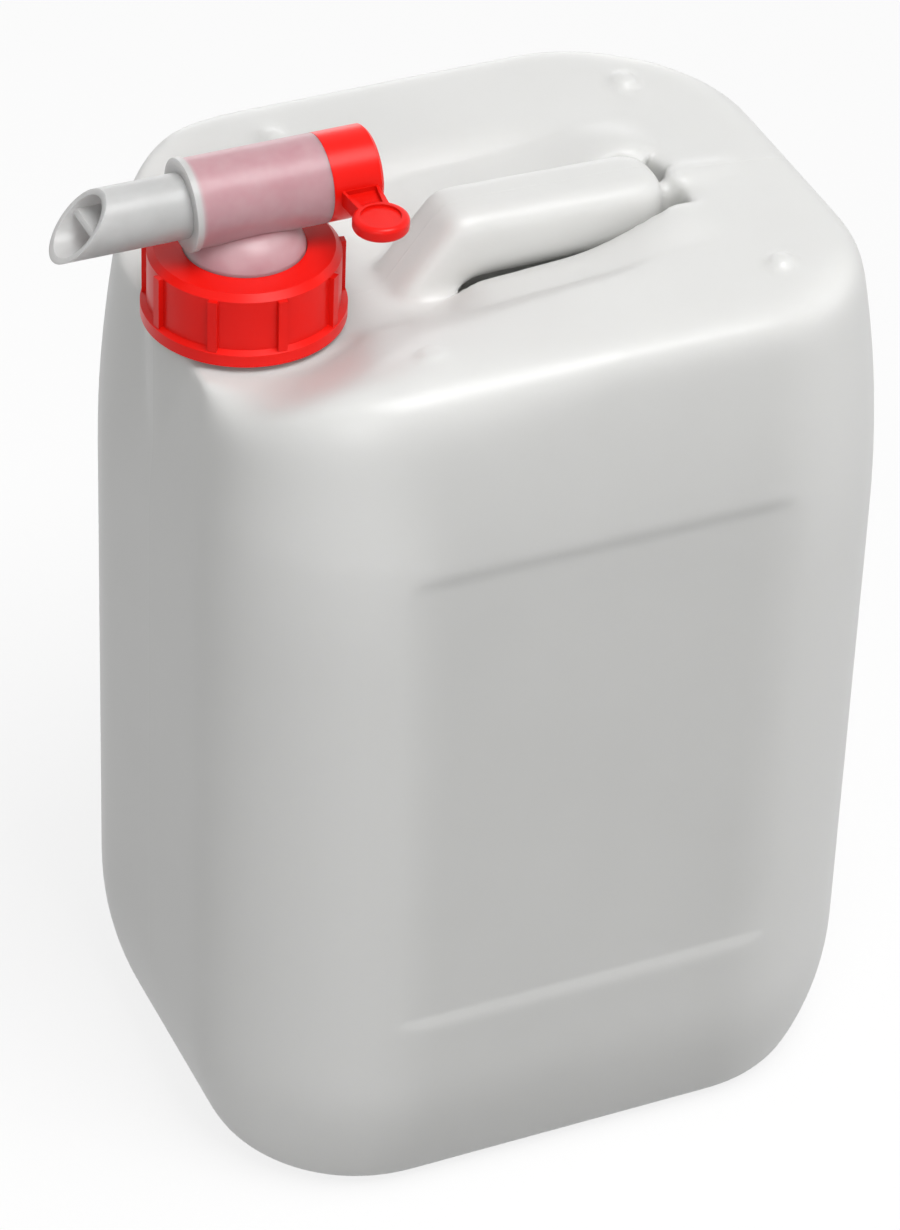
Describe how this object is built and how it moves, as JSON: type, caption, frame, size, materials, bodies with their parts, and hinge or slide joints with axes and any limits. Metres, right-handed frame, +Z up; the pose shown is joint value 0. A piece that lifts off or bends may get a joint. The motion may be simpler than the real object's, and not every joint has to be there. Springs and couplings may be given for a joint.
{
  "type": "carboy with spigot",
  "caption": "Rounded rectangular plastic liquid can with moulded carry handle and a screwed-on dispensing tap with a lever and slant-cut spout.",
  "frame": {"origin": "centre of the flat base", "axes": "+Z up, X along the can and its handle with the neck and spout at the -X end, Y across the can"},
  "size_m": [0.261, 0.19, 0.356],
  "materials": {
    "can": "satin natural polyethylene",
    "neck_seal": "matte",
    "screw_cap": "semi-gloss",
    "tap_body": "translucent natural polyethylene",
    "valve_plug": "semi-gloss"
  },
  "bodies": {
    "can": {"can": "can"},
    "seal": {"neck_seal": "neck_seal"},
    "tap": {"tap_body": "tap_body"},
    "cap": {"screw_cap": "screw_cap"},
    "plug": {"valve_plug": "valve_plug"}
  },
  "joints": [
    {"name": "tap_lift", "type": "slide", "parent": "can", "child": "seal", "axis": [0, 0, 1], "range_m": [0, 0.012]},
    {"name": "cap_turn", "type": "hinge", "parent": "seal", "child": "cap", "pos_m": [-0.0835, 0, 0.3], "axis": [0, 0, 1], "range_deg": [0, 1080]},
    {"name": "tap_swivel", "type": "hinge", "parent": "seal", "child": "tap", "pos_m": [-0.0835, 0, 0.3], "axis": [0, 0, 1], "range_deg": [-180, 180]},
    {"name": "plug_turn", "type": "hinge", "parent": "tap", "child": "plug", "pos_m": [-0.0835, 0, 0.3414], "axis": [-1, 0, 0], "range_deg": [0, 90]}
  ],
  "couplings": [
    {"joint": "tap_lift", "follows": "cap_turn", "m_per_rad": 0.00063662}
  ]
}
